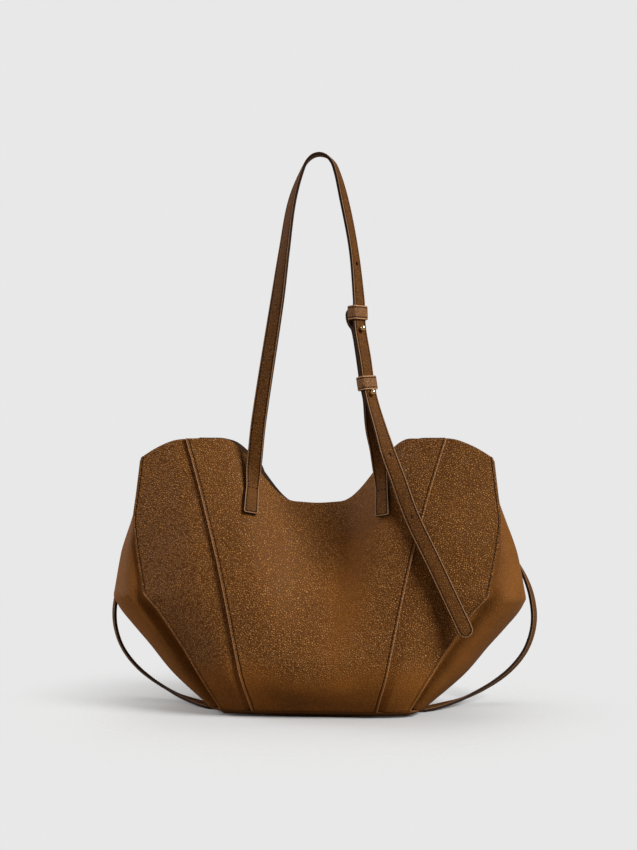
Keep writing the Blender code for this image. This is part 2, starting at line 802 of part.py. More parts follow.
def build():
    centre_panel("front_centre_panel", 0, material("front_centre_leather", LEATHER_COLOUR, 0.55))
    centre_panel("back_centre_panel", 6, material("back_centre_leather", LEATHER_COLOUR, 0.55))
    wings = (
        ("front_wing_right", 1, 2),
        ("front_wing_left", 11, 10),
        ("back_wing_right", 5, 4),
        ("back_wing_left", 7, 8),
    )
    for name, seam, edge in wings:
        wing(name, seam, edge, material(name + "_leather", LEATHER_COLOUR, 0.55))
    gusset("gusset_right", 2, material("gusset_right_leather", LEATHER_COLOUR, 0.5))
    gusset("gusset_left", 8, material("gusset_left_leather", LEATHER_COLOUR, 0.5))
    base_panel(material("base_leather", BASE_COLOUR, 0.6))

    standing = standing_route()
    holes = [LAST_HOLE + HOLE_PITCH * index for index in range(HOLES)]
    lower_stud, upper_stud = holes[LOWER_STUD_HOLE], holes[UPPER_STUD_HOLE]
    past_stud = STUD_BALL + KEEPER_WIDTH / 2
    lower_keeper = lower_stud + past_stud + LOWER_STUD_CLEAR
    upper_keeper = upper_stud + past_stud + UPPER_STUD_CLEAR

    long_strap = strap("front_strap", standing, TIP_ROUND, TAB_ROUND, strap_leather("front_strap"))
    pierce(long_strap, standing, holes)
    stub = stub_route(standing, lower_stud, upper_keeper)
    strap("strap_stub", stub, TAB_ROUND, TIP_ROUND, strap_leather("stub"))
    strap("back_strap", fallen_route(), TAB_ROUND, TAB_ROUND, strap_leather("back_strap"))

    between = -(STRAP_THICK + LAYER_GAP) / 2
    keeper("keeper_lower", standing.frame(lower_keeper, between), strap_leather("keeper_lower"))
    keeper("keeper_upper", standing.frame(upper_keeper, between), strap_leather("keeper_upper"))
    for name, distance in (("stud_lower", lower_stud), ("stud_upper", upper_stud)):
        root = standing.frame(distance, -STRAP_THICK / 2 - LAYER_GAP / 2)
        stud(name, root, material(name + "_brass", BRASS_COLOUR, 0.25, 1.0))


build()
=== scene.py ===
"""Soft leather shopper bag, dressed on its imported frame. Metres, Z up, the front faces -Y."""
from bisect import bisect_right
from math import ceil, cos, exp, hypot, pi, radians, sin

import bpy
import numpy as np
from mathutils import Matrix, Vector


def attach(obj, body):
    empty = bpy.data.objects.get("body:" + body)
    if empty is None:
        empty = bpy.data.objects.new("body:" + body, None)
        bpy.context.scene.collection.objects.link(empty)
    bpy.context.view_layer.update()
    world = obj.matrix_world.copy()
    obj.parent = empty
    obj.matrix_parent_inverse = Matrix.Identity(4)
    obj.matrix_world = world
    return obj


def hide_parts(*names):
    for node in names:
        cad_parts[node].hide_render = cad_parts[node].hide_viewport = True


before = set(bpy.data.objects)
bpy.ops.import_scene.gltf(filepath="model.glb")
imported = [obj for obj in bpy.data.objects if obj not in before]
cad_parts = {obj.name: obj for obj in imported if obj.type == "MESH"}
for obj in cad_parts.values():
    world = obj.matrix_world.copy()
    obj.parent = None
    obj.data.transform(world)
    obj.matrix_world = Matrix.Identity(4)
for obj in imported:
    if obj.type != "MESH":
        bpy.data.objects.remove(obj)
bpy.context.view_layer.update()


# Front and back centre panels. Each is one piece of pebbled cowhide, pinched in at the
# middle of its dipped rim and full at the belly. Its long edges are folded under and
# top-stitched over the wings; its rim is cut and painted.
BAG_HEIGHT = 0.268
BAG_HALF_WIDTH = 0.206
BELLY_DEPTH = 0.073
DIP_HEIGHT = 0.204
DIP_START = 0.022
DIP_END = 0.092
DIP_FLOOR = 0.030
DIP_FLOOR_SHARE = 0.03
EDGE_LIFT = 0.0065
LEATHER = 0.0018
SEAM_GAP = 0.0004
SEAM_LAP = 0.0050
STITCH_INSET = 0.0028
STITCH_PITCH = 0.0034
STITCH_LENGTH = 0.0024
THREAD = 0.00058

LEATHER_BROWN = (0.222, 0.079, 0.0125)
EDGE_BROWN = (0.024, 0.011, 0.006)
NAP_BROWN = (0.150, 0.088, 0.050)
# The thread's near-black colour is painted shade: it stands in for the shadowed stitch holes.
THREAD_SHADE_BROWN = (0.008, 0.004, 0.002)

# Lines that run up the bag, level 0 at the lower edge and 1 at the rim. forward is a
# share of the belly's depth, out a share of the bag's half width.
CENTRE_LINE = (
    # level, forward
    (0.00, 0.82),
    (0.08, 0.94),
    (0.16, 0.985),
    (0.27, 0.993),
    (0.40, 0.94),
    (0.52, 0.84),
    (0.64, 0.69),
    (0.76, 0.53),
    (0.88, 0.36),
    (1.00, 0.20),
)
SEAM_LINE = (
    # level, forward, out
    (0.00, 0.82, 0.294),
    (0.04, 0.89, 0.307),
    (0.13, 0.97, 0.339),
    (0.25, 1.00, 0.370),
    (0.40, 0.973, 0.409),
    (0.55, 0.92, 0.451),
    (0.70, 0.853, 0.501),
    (0.85, 0.753, 0.556),
    (1.00, 0.616, 0.616),
)


def smooth(share):
    share = min(max(share, 0.0), 1.0)
    return share * share * (3 - 2 * share)


def mix(a, b, share):
    return a + (b - a) * share


def along(rows, at, column):
    """Smooth value of one column of a table, at a value of its first column."""
    at = min(max(at, rows[0][0]), rows[-1][0])
    last = len(rows) - 1
    here = min(max(bisect_right([row[0] for row in rows], at) - 1, 0), last - 1)

    def slope(index):
        before, after = max(index - 1, 0), min(index + 1, last)
        rise = rows[after][column] - rows[before][column]
        return rise / (rows[after][0] - rows[before][0])

    low, high = rows[here], rows[here + 1]
    span = high[0] - low[0]
    t = (at - low[0]) / span
    return (
        (2 * t**3 - 3 * t**2 + 1) * low[column]
        + (t**3 - 2 * t**2 + t) * span * slope(here)
        + (3 * t**2 - 2 * t**3) * high[column]
        + (t**3 - t**2) * span * slope(here + 1)
    )


def centre_form(share, level):
    """A quarter's surface from the middle (0) to the panel seam (1)."""
    out = along(SEAM_LINE, level, 2) * share
    rim_out = SEAM_LINE[-1][2] * BAG_HALF_WIDTH * share
    steep = smooth((rim_out - DIP_START) / (DIP_END - DIP_START))
    risen = mix(steep, smooth(rim_out / DIP_FLOOR), DIP_FLOOR_SHARE)
    rim = mix(DIP_HEIGHT, BAG_HEIGHT, risen)
    forward = mix(along(CENTRE_LINE, level, 1), along(SEAM_LINE, level, 1), smooth(share))
    return out, forward, mix(EDGE_LIFT, rim, level)


form = [centre_form]


def skin(place, level):
    """The bag's outside. place runs round it: 0 front middle, 1 front seam, 2 wing
    edge, 3 gusset middle, 4 wing edge, 5 back seam, 6 back middle, and on to 12."""
    place %= 12
    quarter, rest = int(place // 3), place % 3
    share = rest if quarter in (0, 2) else 3 - rest
    side = 1 if quarter < 2 else -1
    face = -1 if quarter in (0, 3) else 1
    panel = min(max(ceil(share) - 1, 0), len(form) - 1)
    out, forward, height = form[panel](share - panel, level)
    return Vector((side * out * BAG_HALF_WIDTH, face * forward * BELLY_DEPTH, height))


def skin_normal(place, level, towards=1):
    """Outward normal, measured on the side of place that towards points to."""
    small = 0.002
    up = -small if level > 0.5 else small
    here = skin(place, level)
    across = (skin(place + small * towards, level) - here) * towards
    climb = (skin(place, level + up) - here) / up
    return across.cross(climb).normalized()


def inwards(place, level, inset, towards):
    """The place that lies inset metres from place along the leather."""
    step = 0.01
    reach = (skin(place + step * towards, level) - skin(place, level)).length
    return place + towards * inset / reach * step


SOFT_DENTS = (
    # across, height, half width, half height, swell
    (-0.112, 0.150, 0.026, 0.036, 0.0030),
    (-0.150, 0.205, 0.024, 0.040, -0.0026),
    (-0.092, 0.225, 0.018, 0.030, -0.0016),
    (-0.048, 0.115, 0.026, 0.042, 0.0052),
    (0.000, 0.154, 0.028, 0.038, -0.0066),
    (-0.008, 0.134, 0.056, 0.046, -0.0012),
    (0.072, 0.105, 0.028, 0.040, -0.0022),
    (-0.005, 0.045, 0.080, 0.022, 0.0046),
    (0.133, 0.208, 0.020, 0.028, -0.0032),
    (0.160, 0.160, 0.020, 0.032, 0.0034),
    (0.112, 0.105, 0.020, 0.040, -0.0040),
)
DENTS_FROM = 0.03
FOLD_PROUD = 0.0005
FOLD_WIDTH = 0.008
GROOVE_DEPTH = 0.0006
GROOVE_HALF_WIDTH = 0.0006


def raised(place, level, height, towards=1):
    """A point at a height over the leather. The front swells and sinks softly."""
    point = skin(place, level) + skin_normal(place, level, towards) * height
    if point.y < 0:
        for across, up, half_width, half_height, swell in SOFT_DENTS:
            aside, above = (point.x - across) / half_width, (point.z - up) / half_height
            fade = exp(-(aside**2 + above**2) / 2) * smooth(point.z / DENTS_FROM)
            point.y -= swell * fade
    return point


def fold_relief(inset):
    """Height of a folded margin: a little proud, with a groove under the stitches."""
    proud = FOLD_PROUD * (1 - smooth(inset / FOLD_WIDTH))
    off_seam = (inset - STITCH_INSET) / GROOVE_HALF_WIDTH
    return proud - GROOVE_DEPTH * exp(-(off_seam**2))


def node(tree, kind, inputs=(), **settings):
    """A shader node with its settings, and its inputs set or linked."""
    made = tree.nodes.new(kind)
    for key, value in settings.items():
        setattr(made, key, value)
    for key, value in dict(inputs).items():
        if isinstance(value, bpy.types.NodeSocket):
            tree.links.new(value, made.inputs[key])
        else:
            made.inputs[key].default_value = value
    return made


def remap(tree, value, low, high, at_low=0.0, at_high=1.0, soft=False):
    """A value between low and high, mapped to another range."""
    ends = {"From Min": low, "From Max": high, "To Min": at_low, "To Max": at_high}
    kind = "SMOOTHSTEP" if soft else "LINEAR"
    made = node(tree, "ShaderNodeMapRange", {"Value": value, **ends}, interpolation_type=kind)
    return made.outputs["Result"]


def maths(tree, operation, *values):
    return node(tree, "ShaderNodeMath", dict(enumerate(values)), operation=operation).outputs[0]


def vectors(tree, operation, inputs):
    return node(tree, "ShaderNodeVectorMath", inputs, operation=operation).outputs[0]


def tint(tree, share, under, over, kind="MIX"):
    """One colour laid over another."""
    inputs = {"Factor": share, "A": under, "B": over}
    made = node(tree, "ShaderNodeMix", inputs, data_type="RGBA", blend_type=kind)
    return made.outputs["Result"]


def specks(tree, place, scale, detail):
    return node(tree, "ShaderNodeTexNoise", {"Vector": place, "Scale": scale, "Detail": detail})


def object_place(tree):
    return node(tree, "ShaderNodeTexCoord").outputs["Object"]


def group(name, inputs, outputs):
    """An empty group of nodes, with the sockets at its start and at its end."""
    tree = bpy.data.node_groups.new(name, "ShaderNodeTree")
    for label, kind in inputs.items():
        tree.interface.new_socket(label, in_out="INPUT", socket_type="NodeSocket" + kind)
    for label in outputs:
        tree.interface.new_socket(label, in_out="OUTPUT", socket_type="NodeSocketFloat")
    given = tree.nodes.new("NodeGroupInput").outputs
    return tree, given, tree.nodes.new("NodeGroupOutput").inputs


def pebble_group():
    """Pebbled grain: rounded cells, their tops (for a painted highlight), the creases between
    them (for painted shade) and a broad mottling.
    """
    sockets = {"Vector": "Vector", "Pebble": "Float"}
    tree, given, out = group("pebbled_grain", sockets, ("Height", "Crease", "Top", "Mottle"))
    place = given["Vector"]
    wander = specks(tree, place, 160.0, 2.0).outputs["Color"]
    centred = vectors(tree, "SUBTRACT", {0: wander, 1: (0.5, 0.5, 0.5)})
    shift = vectors(tree, "SCALE", {0: centred, "Scale": 0.004})
    moved = vectors(tree, "ADD", {0: place, 1: shift})
    density = maths(tree, "DIVIDE", 1.0, given["Pebble"])
    inputs = {"Vector": moved, "Scale": density}
    cells = node(tree, "ShaderNodeTexVoronoi", inputs, feature="DISTANCE_TO_EDGE")
    from_edge = cells.outputs["Distance"]
    dome = remap(tree, from_edge, 0.0, 0.42, soft=True)
    crease = remap(tree, from_edge, 0.04, 0.26, 1.0, 0.0, soft=True)
    top = remap(tree, from_edge, 0.12, 0.34, soft=True)
    pores = specks(tree, place, 1500.0, 2.0).outputs["Fac"]
    height = maths(tree, "MULTIPLY_ADD", pores, 0.18, dome)
    broad = specks(tree, place, 26.0, 4.0).outputs["Fac"]
    for value, label in ((height, "Height"), (crease, "Crease"), (top, "Top"), (broad, "Mottle")):
        tree.links.new(value, out[label])
    return tree


def edge_group():
    """Masks by the distance from a piece's edge: the painted edge, the rubbed line, which is
    partly wear and partly a painted highlight, and the groove that the stitches lie in,
    which gets painted shade."""
    sockets = {"Inset": "Float", "Seam": "Float"}
    tree, given, out = group("edge_masks", sockets, ("Paint", "WearAndHighlight", "Groove"))
    inset = given["Inset"]
    from_seam = maths(tree, "ABSOLUTE", maths(tree, "SUBTRACT", inset, given["Seam"]))
    paint = remap(tree, inset, 0.0002, 0.0005, 1.0, 0.0)
    wear_and_highlight = remap(tree, inset, 0.0005, 0.0012, 1.0, 0.0, soft=True)
    groove = remap(tree, from_seam, 0.0002, 0.0009, 1.0, 0.0, soft=True)
    for value, label in ((paint, "Paint"), (wear_and_highlight, "WearAndHighlight"), (groove, "Groove")):
        tree.links.new(value, out[label])
    return tree


PEBBLES = pebble_group()
EDGES = edge_group()
# How much the pebbles' tops are lighter (a painted highlight), the creases and the
# stitches' groove darker (painted shade) than the leather, and what rubbing adds to the
# edge line, which is partly wear and partly a painted highlight.
TOP_HIGHLIGHT_GAIN = (1.50, 1.95, 3.6)
CREASE_SHADE_GAIN, CREASE_SHADE_SHARE = 0.3, 0.8
GROOVE_SHADE_GAIN, GROOVE_SHADE_SHARE = 0.15, 0.65
RUB_AND_HIGHLIGHT_GAIN, RUB_AND_HIGHLIGHT_ADDED = 1.3, (0.21, 0.155, 0.105)


def new_material(name, shine):
    made = bpy.data.materials.new(name)
    made.use_nodes = True
    shader = made.node_tree.nodes["Principled BSDF"]
    shader.inputs["Specular IOR Level"].default_value = shine
    return made, made.node_tree, shader


def lay_on(tree, shader, look, gloss, relief, depth):
    """A shader's colour, its roughness and a relief of a depth in metres."""
    bump = node(tree, "ShaderNodeBump", {"Height": relief, "Distance": depth, "Strength": 1.0})
    tree.links.new(look, shader.inputs["Base Color"])
    tree.links.new(gloss, shader.inputs["Roughness"])
    tree.links.new(bump.outputs["Normal"], shader.inputs["Normal"])


def leather(
    name,
    colour,
    pebble=0.0018,
    depth=0.0006,
    rough=0.5,
    wear_and_highlight=0.6,
    painted=0.0,
    shine=0.10,
    seam=STITCH_INSET,
):
    """Grained leather. Its grain follows the attribute pebbled, its edge the attribute
    inset. painted is the edge paint's share, seam the inset of the stitches."""
    made, tree, shader = new_material(name, shine)
    inputs = {"Vector": object_place(tree), "Pebble": pebble}
    grain = node(tree, "ShaderNodeGroup", inputs, node_tree=PEBBLES).outputs
    amount = node(tree, "ShaderNodeAttribute", attribute_name="pebbled").outputs["Fac"]
    inset = node(tree, "ShaderNodeAttribute", attribute_name="inset").outputs["Fac"]
    edge = node(tree, "ShaderNodeGroup", {"Inset": inset, "Seam": seam}, node_tree=EDGES).outputs
    mottle = remap(tree, grain["Mottle"], 0.3, 0.7, 0.86, 1.14)
    look = tint(tree, 1.0, (*colour, 1), mottle, "MULTIPLY")
    pale = [c * gain for c, gain in zip(colour, TOP_HIGHLIGHT_GAIN)]
    rubbed_and_highlit = [c * RUB_AND_HIGHLIGHT_GAIN + added for c, added in zip(colour, RUB_AND_HIGHLIGHT_ADDED)]
    on_top = maths(tree, "MULTIPLY", grain["Top"], amount)
    crease_shade_mask = maths(tree, "MULTIPLY", grain["Crease"], amount)
    # Laid over the leather's colour: a painted highlight on the pebbles' tops, painted shade in
    # the creases and in the stitches' groove, the rubbed edge line (partly wear, partly painted
    # highlight) and the edge paint.
    for mask, share, over in (
        (on_top, 1.0, pale),
        (crease_shade_mask, CREASE_SHADE_SHARE, [c * CREASE_SHADE_GAIN for c in colour]),
        (edge["Groove"], GROOVE_SHADE_SHARE, [c * GROOVE_SHADE_GAIN for c in colour]),
        (edge["WearAndHighlight"], wear_and_highlight, rubbed_and_highlit),
        (edge["Paint"], painted, EDGE_BROWN),
    ):
        look = tint(tree, maths(tree, "MULTIPLY", mask, share), look, (*over, 1))
    gloss = remap(tree, grain["Mottle"], 0.3, 0.7, rough - 0.05, rough + 0.06)
    lay_on(tree, shader, look, gloss, maths(tree, "MULTIPLY", grain["Height"], amount), depth)
    return made


def plain_finish(name, colour, rough, grit, depth, metallic=0.0):
    """A finish with fine grit: painted edges, the leather's nap, thread, metal."""
    made, tree, shader = new_material(name, 0.12)
    shader.inputs["Metallic"].default_value = metallic
    speck = specks(tree, object_place(tree), grit, 4.0).outputs["Fac"]
    dark = [c * 0.7 for c in colour]
    light = [min(c * 1.3, 1) for c in colour]
    look = tint(tree, speck, (*dark, 1), (*light, 1))
    gloss = remap(tree, speck, 0.3, 0.7, rough * 0.85, rough * 1.1)
    lay_on(tree, shader, look, gloss, speck, depth)
    return made


NAP = plain_finish("leather_nap", NAP_BROWN, 0.85, 900.0, 0.0003)
EDGE_PAINT = plain_finish("edge_paint", EDGE_BROWN, 0.8, 700.0, 0.0001)
WAXED_THREAD = plain_finish("waxed_thread", THREAD_SHADE_BROWN, 0.8, 2600.0, 0.0001)


def apply_modifiers(piece):
    bpy.ops.object.select_all(action="DESELECT")
    piece.select_set(True)
    bpy.context.view_layer.objects.active = piece
    for modifier in list(piece.modifiers):
        bpy.ops.object.modifier_apply(modifier=modifier.name)


FACE, BACK, RIM = 0, 1, 2
EDGE_ROUNDING = 0.0005


def leather_wall(name, columns, levels, locate, finish, folded):
    """A leather wall: a grid laid on the form by locate(column, level), which gives a
    point, its inset from the nearest edge and how pebbled it is. Its thickness goes
    inwards. The first or last column is turned leather if folded names it; the other
    edges are cut and painted."""
    bpy.ops.object.select_all(action="DESELECT")
    across, up = len(columns) - 1, len(levels) - 1
    bpy.ops.mesh.primitive_grid_add(x_subdivisions=across, y_subdivisions=up, size=2)
    wall = bpy.context.object
    wall.name = wall.data.name = name
    mesh = wall.data
    inset = mesh.attributes.new("inset", "FLOAT", "POINT")
    pebbled = mesh.attributes.new("pebbled", "FLOAT", "POINT")
    turned = mesh.attributes.new("turned", "FLOAT", "POINT")
    for vertex in mesh.vertices:
        column = round((vertex.co.x + 1) / 2 * across)
        row = round((vertex.co.y + 1) / 2 * up)
        spot, from_edge, amount = locate(columns[column], levels[row])
        on_fold = {"first": column == 0, "last": column == across}
        turned.data[vertex.index].value = float(any(on_fold[which] for which in folded))
        inset.data[vertex.index].value = from_edge
        pebbled.data[vertex.index].value = amount
        vertex.co = spot
    for material in (finish, NAP, EDGE_PAINT):
        mesh.materials.append(material)
    solid = wall.modifiers.new("thickness", "SOLIDIFY")
    solid.thickness = LEATHER
    solid.offset = -1
    solid.material_offset = BACK
    solid.material_offset_rim = RIM
    apply_modifiers(wall)
    amounts = [value.value for value in mesh.attributes["turned"].data]
    for face in mesh.polygons:
        if face.material_index == RIM and min(amounts[v] for v in face.vertices) > 0.5:
            face.material_index = FACE
    rounded = wall.modifiers.new("rounded", "BEVEL")
    rounded.width = EDGE_ROUNDING
    rounded.segments = 3
    rounded.limit_method = "ANGLE"
    rounded.angle_limit = radians(55)
    apply_modifiers(wall)
    bpy.ops.object.shade_smooth_by_angle(angle=radians(50))
    return wall


STITCH_FLATNESS = 0.6
STITCH_PROUD = 0.3
STITCH_DIVE = 1.2


def sew(name, lines):
    """Rows of stitches. Each line is a list of (point, normal) along the leather."""
    bpy.ops.object.select_all(action="DESELECT")
    bpy.ops.mesh.primitive_uv_sphere_add(segments=6, ring_count=4, radius=1)
    pattern = bpy.context.object
    laid = np.array(((0, 0, STITCH_LENGTH / 2), (0, THREAD, 0), (THREAD, 0, 0)), float)
    spots = np.array([v.co for v in pattern.data.vertices]) @ laid.T
    # A stitch lies flat on the leather and dives at both ends.
    dive = STITCH_DIVE * (spots[:, 0] / STITCH_LENGTH * 2) ** 4
    spots[:, 2] = spots[:, 2] * STITCH_FLATNESS + THREAD * (STITCH_PROUD - dive)
    faces = [tuple(face.vertices) for face in pattern.data.polygons]
    bpy.data.objects.remove(pattern)
    all_spots, all_faces = [], []
    for line in lines:
        reach = [0.0]
        for (a, _), (b, _) in zip(line, line[1:]):
            reach.append(reach[-1] + (b - a).length)
        count = max(int(reach[-1] / STITCH_PITCH), 1)
        for index in range(count):
            at = (index + 0.5) * reach[-1] / count
            here = min(max(bisect_right(reach, at) - 1, 0), len(line) - 2)
            share = (at - reach[here]) / (reach[here + 1] - reach[here])
            point = line[here][0].lerp(line[here + 1][0], share)
            normal = line[here][1].lerp(line[here + 1][1], share).normalized()
            run = (line[here + 1][0] - line[here][0]).normalized()
            side = normal.cross(run).normalized()
            turn = np.array((run, side, run.cross(side)))
            base = len(all_spots) * len(spots)
            all_spots.append(spots @ turn + np.array(point))
            all_faces += [tuple(base + v for v in face) for face in faces]
    mesh = bpy.data.meshes.new(name)
    mesh.from_pydata(np.concatenate(all_spots).tolist(), [], all_faces)
    mesh.materials.append(WAXED_THREAD)
    mesh.shade_smooth()
    made = bpy.data.objects.new(name, mesh)
    bpy.context.scene.collection.objects.link(made)
    return made


def dress(piece, slot, *nodes):
    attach(piece, "root")
    if nodes:
        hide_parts(*nodes)


ROWS = 84
LEVELS = [index / ROWS for index in range(ROWS + 1)]
FOLD_INSETS = (
    0, 0.0006, 0.0012, 0.0018, 0.0023, 0.0028, 0.0033, 0.0039, 0.0048, 0.0062, 0.0085
)
HALF_COLUMNS = 31
FOOT_GRAIN = 0.35
FOOT_LEVEL = 0.10
FOOT_FADE = 0.14
BACK_RIM_DROP = 0.02


def foot(level):
    """How pebbled the leather is: its lowest stretch is pressed smoother."""
    return mix(FOOT_GRAIN, 1.0, smooth((level - FOOT_LEVEL) / FOOT_FADE))


def pressed(share, level):
    """How flat the grain is pressed on the front, right of the pinch."""
    return 0.6 * exp(-(((share - 0.4) / 0.3) ** 2) - ((level - 0.5) / 0.35) ** 2)


for name, middle in (("front", 0), ("back", 6)):
    columns = [(-1, inset) for inset in FOLD_INSETS]
    columns += [(share / HALF_COLUMNS, None) for share in range(1 - HALF_COLUMNS, HALF_COLUMNS)]
    columns += [(1, inset) for inset in reversed(FOLD_INSETS)]

    def locate(column, level):
        share, inset = column
        if name == "back":
            # The back's rim hangs a little lower, behind the front's.
            level *= 1 - BACK_RIM_DROP * smooth((0.9 - abs(share)) / 0.25)
        if inset is None:
            margins = [inwards(middle + side, level, FOLD_INSETS[-1], -side) for side in (-1, 1)]
            grain = foot(level) * (1 - pressed(share, level) if name == "front" else 1)
            return raised(mix(*margins, (share + 1) / 2), level, 0), 1.0, grain
        place = inwards(middle + share, level, inset, -share)
        return raised(place, level, fold_relief(inset), -share), inset, foot(level)

    hide = leather(name + "_centre", LEATHER_BROWN)
    folds = ("first", "last")
    panel = leather_wall("centre_panel_" + name, columns, LEVELS, locate, hide, folds)
    dress(panel, name + "_centre_leather", name + "_centre_panel")
    rows = []
    for side in (-1, 1):
        row = []
        for level in LEVELS:
            place = inwards(middle + side, level, STITCH_INSET, -side)
            point = raised(place, level, fold_relief(STITCH_INSET))
            row.append((point, skin_normal(place, level)))
        rows.append(row)
    dress(sew("seam_stitches_" + name, rows), name + "_centre_leather")


# Four wings, of the same pebbled leather. Each is tucked under the centre panel's fold
# and flares to its own edge, which is folded and stitched to the gusset in its upper
# half and stands free as a ridge below.
CORNER_HEIGHT = 0.249
WING_EDGE = (
    # level, forward, out
    (0.00, 0.74, 0.447),
    (0.08, 0.795, 0.498),
    (0.16, 0.80, 0.555),
    (0.24, 0.80, 0.611),
    (0.32, 0.795, 0.676),
    (0.40, 0.775, 0.744),
    (0.44, 0.753, 0.789),
    (0.455, 0.74, 0.806),
    (0.475, 0.722, 0.814),
    (0.52, 0.697, 0.825),
    (0.58, 0.674, 0.839),
    (0.66, 0.647, 0.855),
    (0.75, 0.628, 0.867),
    (0.86, 0.61, 0.852),
    (1.00, 0.575, 0.832),
)
FOLD_LEVEL = 0.455
RIDGE_BEAD = 0.0010
RIDGE_WIDTH = 0.0022
NO_EDGE_LINE_INSET = 0.0013
WING_COLUMNS = 41


def wing_form(share, level):
    """A quarter's surface from the panel seam (0) to the wing's edge (1)."""
    out = mix(along(SEAM_LINE, level, 2), along(WING_EDGE, level, 2), share)
    forward = mix(along(SEAM_LINE, level, 1), along(WING_EDGE, level, 1), share**1.8)
    rim = mix(BAG_HEIGHT, CORNER_HEIGHT, share**1.7)
    return out, forward, mix(EDGE_LIFT, rim, level)


form.append(wing_form)

WINGS = (
    # name, place of the seam, place of the free edge
    ("front_wing_right", 1, 2),
    ("front_wing_left", 11, 10),
    ("back_wing_right", 5, 4),
    ("back_wing_left", 7, 8),
)

for name, seam, edge in WINGS:
    towards = 1 if edge > seam else -1
    tucked = LEATHER + SEAM_GAP
    columns = [(0, -SEAM_LAP), (0, -SEAM_LAP / 2)]
    columns += [(share / WING_COLUMNS, None) for share in range(WING_COLUMNS)]
    columns += [(1, inset) for inset in reversed(FOLD_INSETS)]
    if towards < 0:
        columns.reverse()

    def locate(column, level):
        share, inset = column
        sewn = smooth((level - FOLD_LEVEL + 0.01) / 0.03)
        ridge = (1 - sewn) * smooth(level / 0.10)
        if inset is None:
            margin = inwards(edge, level, FOLD_INSETS[-1], -towards)
            depth = tucked * (1 - smooth(share / 0.35))
            return raised(mix(seam, margin, share), level, -depth, towards), 1.0, foot(level)
        if inset < 0:
            place = inwards(seam, level, -inset, -towards)
            return raised(place, level, -tucked, towards), 1.0, foot(level)
        place = inwards(edge, level, inset, -towards)
        lift = RIDGE_BEAD * exp(-((inset / RIDGE_WIDTH) ** 2))
        relief = mix(ridge * lift, fold_relief(inset), sewn)
        # The sewn stretch is turned in and gets no rubbed edge line of wear and painted
        # highlight.
        return raised(place, level, relief, -towards), max(inset, NO_EDGE_LINE_INSET * sewn), foot(level)

    ends = ("last",) if towards > 0 else ("first",)
    hide = leather(name, LEATHER_BROWN, wear_and_highlight=0.35)
    wall = leather_wall(name + "_wall", columns, LEVELS, locate, hide, ends)
    dress(wall, name + "_leather", name)
    row = []
    for level in LEVELS:
        if level > FOLD_LEVEL:
            place = inwards(edge, level, STITCH_INSET, -towards)
            point = raised(place, level, fold_relief(STITCH_INSET), -towards)
            row.append((point, skin_normal(place, level)))
    dress(sew(name + "_stitches", [row]), name + "_leather")


# Two gussets, the end walls, of smoother leather. Each is tucked behind the edges of
# two wings, slopes out from the base to a fold at its widest level and folds inwards
# between the wings at the rim.
GUSSET_HEIGHT = 0.247
END_LIFT = 0.0050
RIDGE_STEP = 0.0014
RIDGE_VALLEY = 0.0065
VALLEY_PLACE = 0.10
VALLEY_WIDTH = 0.12
FOLD_HEIGHT_SHARE = 0.43
GUSSET_COLUMNS = 26
GUSSET_GRAIN = 0.3
GUSSET_BROWN = (0.185, 0.067, 0.0115)
GUSSET_BELOW_FOLD = (
    # level, out
    (0.000, 0.530),
    (0.080, 0.641),
    (0.147, 0.723),
    (0.248, 0.818),
    (0.330, 0.900),
    (0.400, 0.966),
    (0.455, 1.000),
)
GUSSET_ABOVE_FOLD = (
    # level, out
    (0.455, 1.000),
    (0.508, 0.988),
    (0.575, 0.973),
    (0.638, 0.956),
    (0.697, 0.932),
    (0.748, 0.908),
    (0.827, 0.872),
    (0.902, 0.838),
    (1.000, 0.791),
)


def gusset_form(share, level):
    """A quarter's surface from the wing's edge (0) to the gusset's middle (1)."""
    rows = GUSSET_BELOW_FOLD if level < FOLD_LEVEL else GUSSET_ABOVE_FOLD
    middle = along(rows, level, 1)
    edge = along(WING_EDGE, level, 2)
    tuck = smooth((level - 0.62) / 0.33)
    angle = share * pi / 2
    out = mix(edge, middle, mix(sin(angle), smooth(share), tuck))
    forward = along(WING_EDGE, level, 1) * mix(cos(angle), 1 - share, tuck)
    if level < FOLD_LEVEL:
        climb = level / FOLD_LEVEL * FOLD_HEIGHT_SHARE
    else:
        climb = mix(FOLD_HEIGHT_SHARE, 1, (level - FOLD_LEVEL) / (1 - FOLD_LEVEL))
    lower = mix(EDGE_LIFT, END_LIFT, share)
    upper = mix(CORNER_HEIGHT, GUSSET_HEIGHT, share)
    return out, forward, mix(lower, upper, mix(level, climb, share))


form.append(gusset_form)

for name, first in (("gusset_right", 2), ("gusset_left", 8)):
    half = [-1, -0.5] + [share / GUSSET_COLUMNS for share in range(GUSSET_COLUMNS)]
    columns = half + [1] + [2 - share for share in reversed(half)]

    def locate(share, level):
        beyond = share > 1
        near = 2 - share if beyond else share
        back = -1 if beyond else 1
        start = first + 2 if beyond else first
        below = 1 - smooth((level - 0.38) / 0.12)
        behind = LEATHER + SEAM_GAP + RIDGE_STEP * below
        if near < 0:
            place = inwards(start, level, -near * SEAM_LAP, -back)
            return raised(place, level, -behind, -back), 1.0, GUSSET_GRAIN
        if near == 0:
            return raised(start, level, -behind, -back), 1.0, GUSSET_GRAIN
        depth = behind * (1 - smooth(near / 0.36))
        depth += RIDGE_VALLEY * below * exp(-(((near - VALLEY_PLACE) / VALLEY_WIDTH) ** 2))
        return raised(start + back * near, level, -depth, back), 1.0, GUSSET_GRAIN

    hide = leather(name, GUSSET_BROWN)
    wall = leather_wall(name + "_wall", columns, LEVELS, locate, hide, ())
    dress(wall, name + "_leather", name)


# The base, a plain leather bottom that turns under from the walls' lower edge and lies
# flat on both sides of the strap's channel.
# The base's leather is coloured darker than the walls': painted shade on the underside.
BASE_SHADE_BROWN = (0.110, 0.046, 0.013)
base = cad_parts["base_panel"]
base.data.materials.clear()
base.data.materials.append(leather("base", BASE_SHADE_BROWN, rough=0.6, wear_and_highlight=0.0))


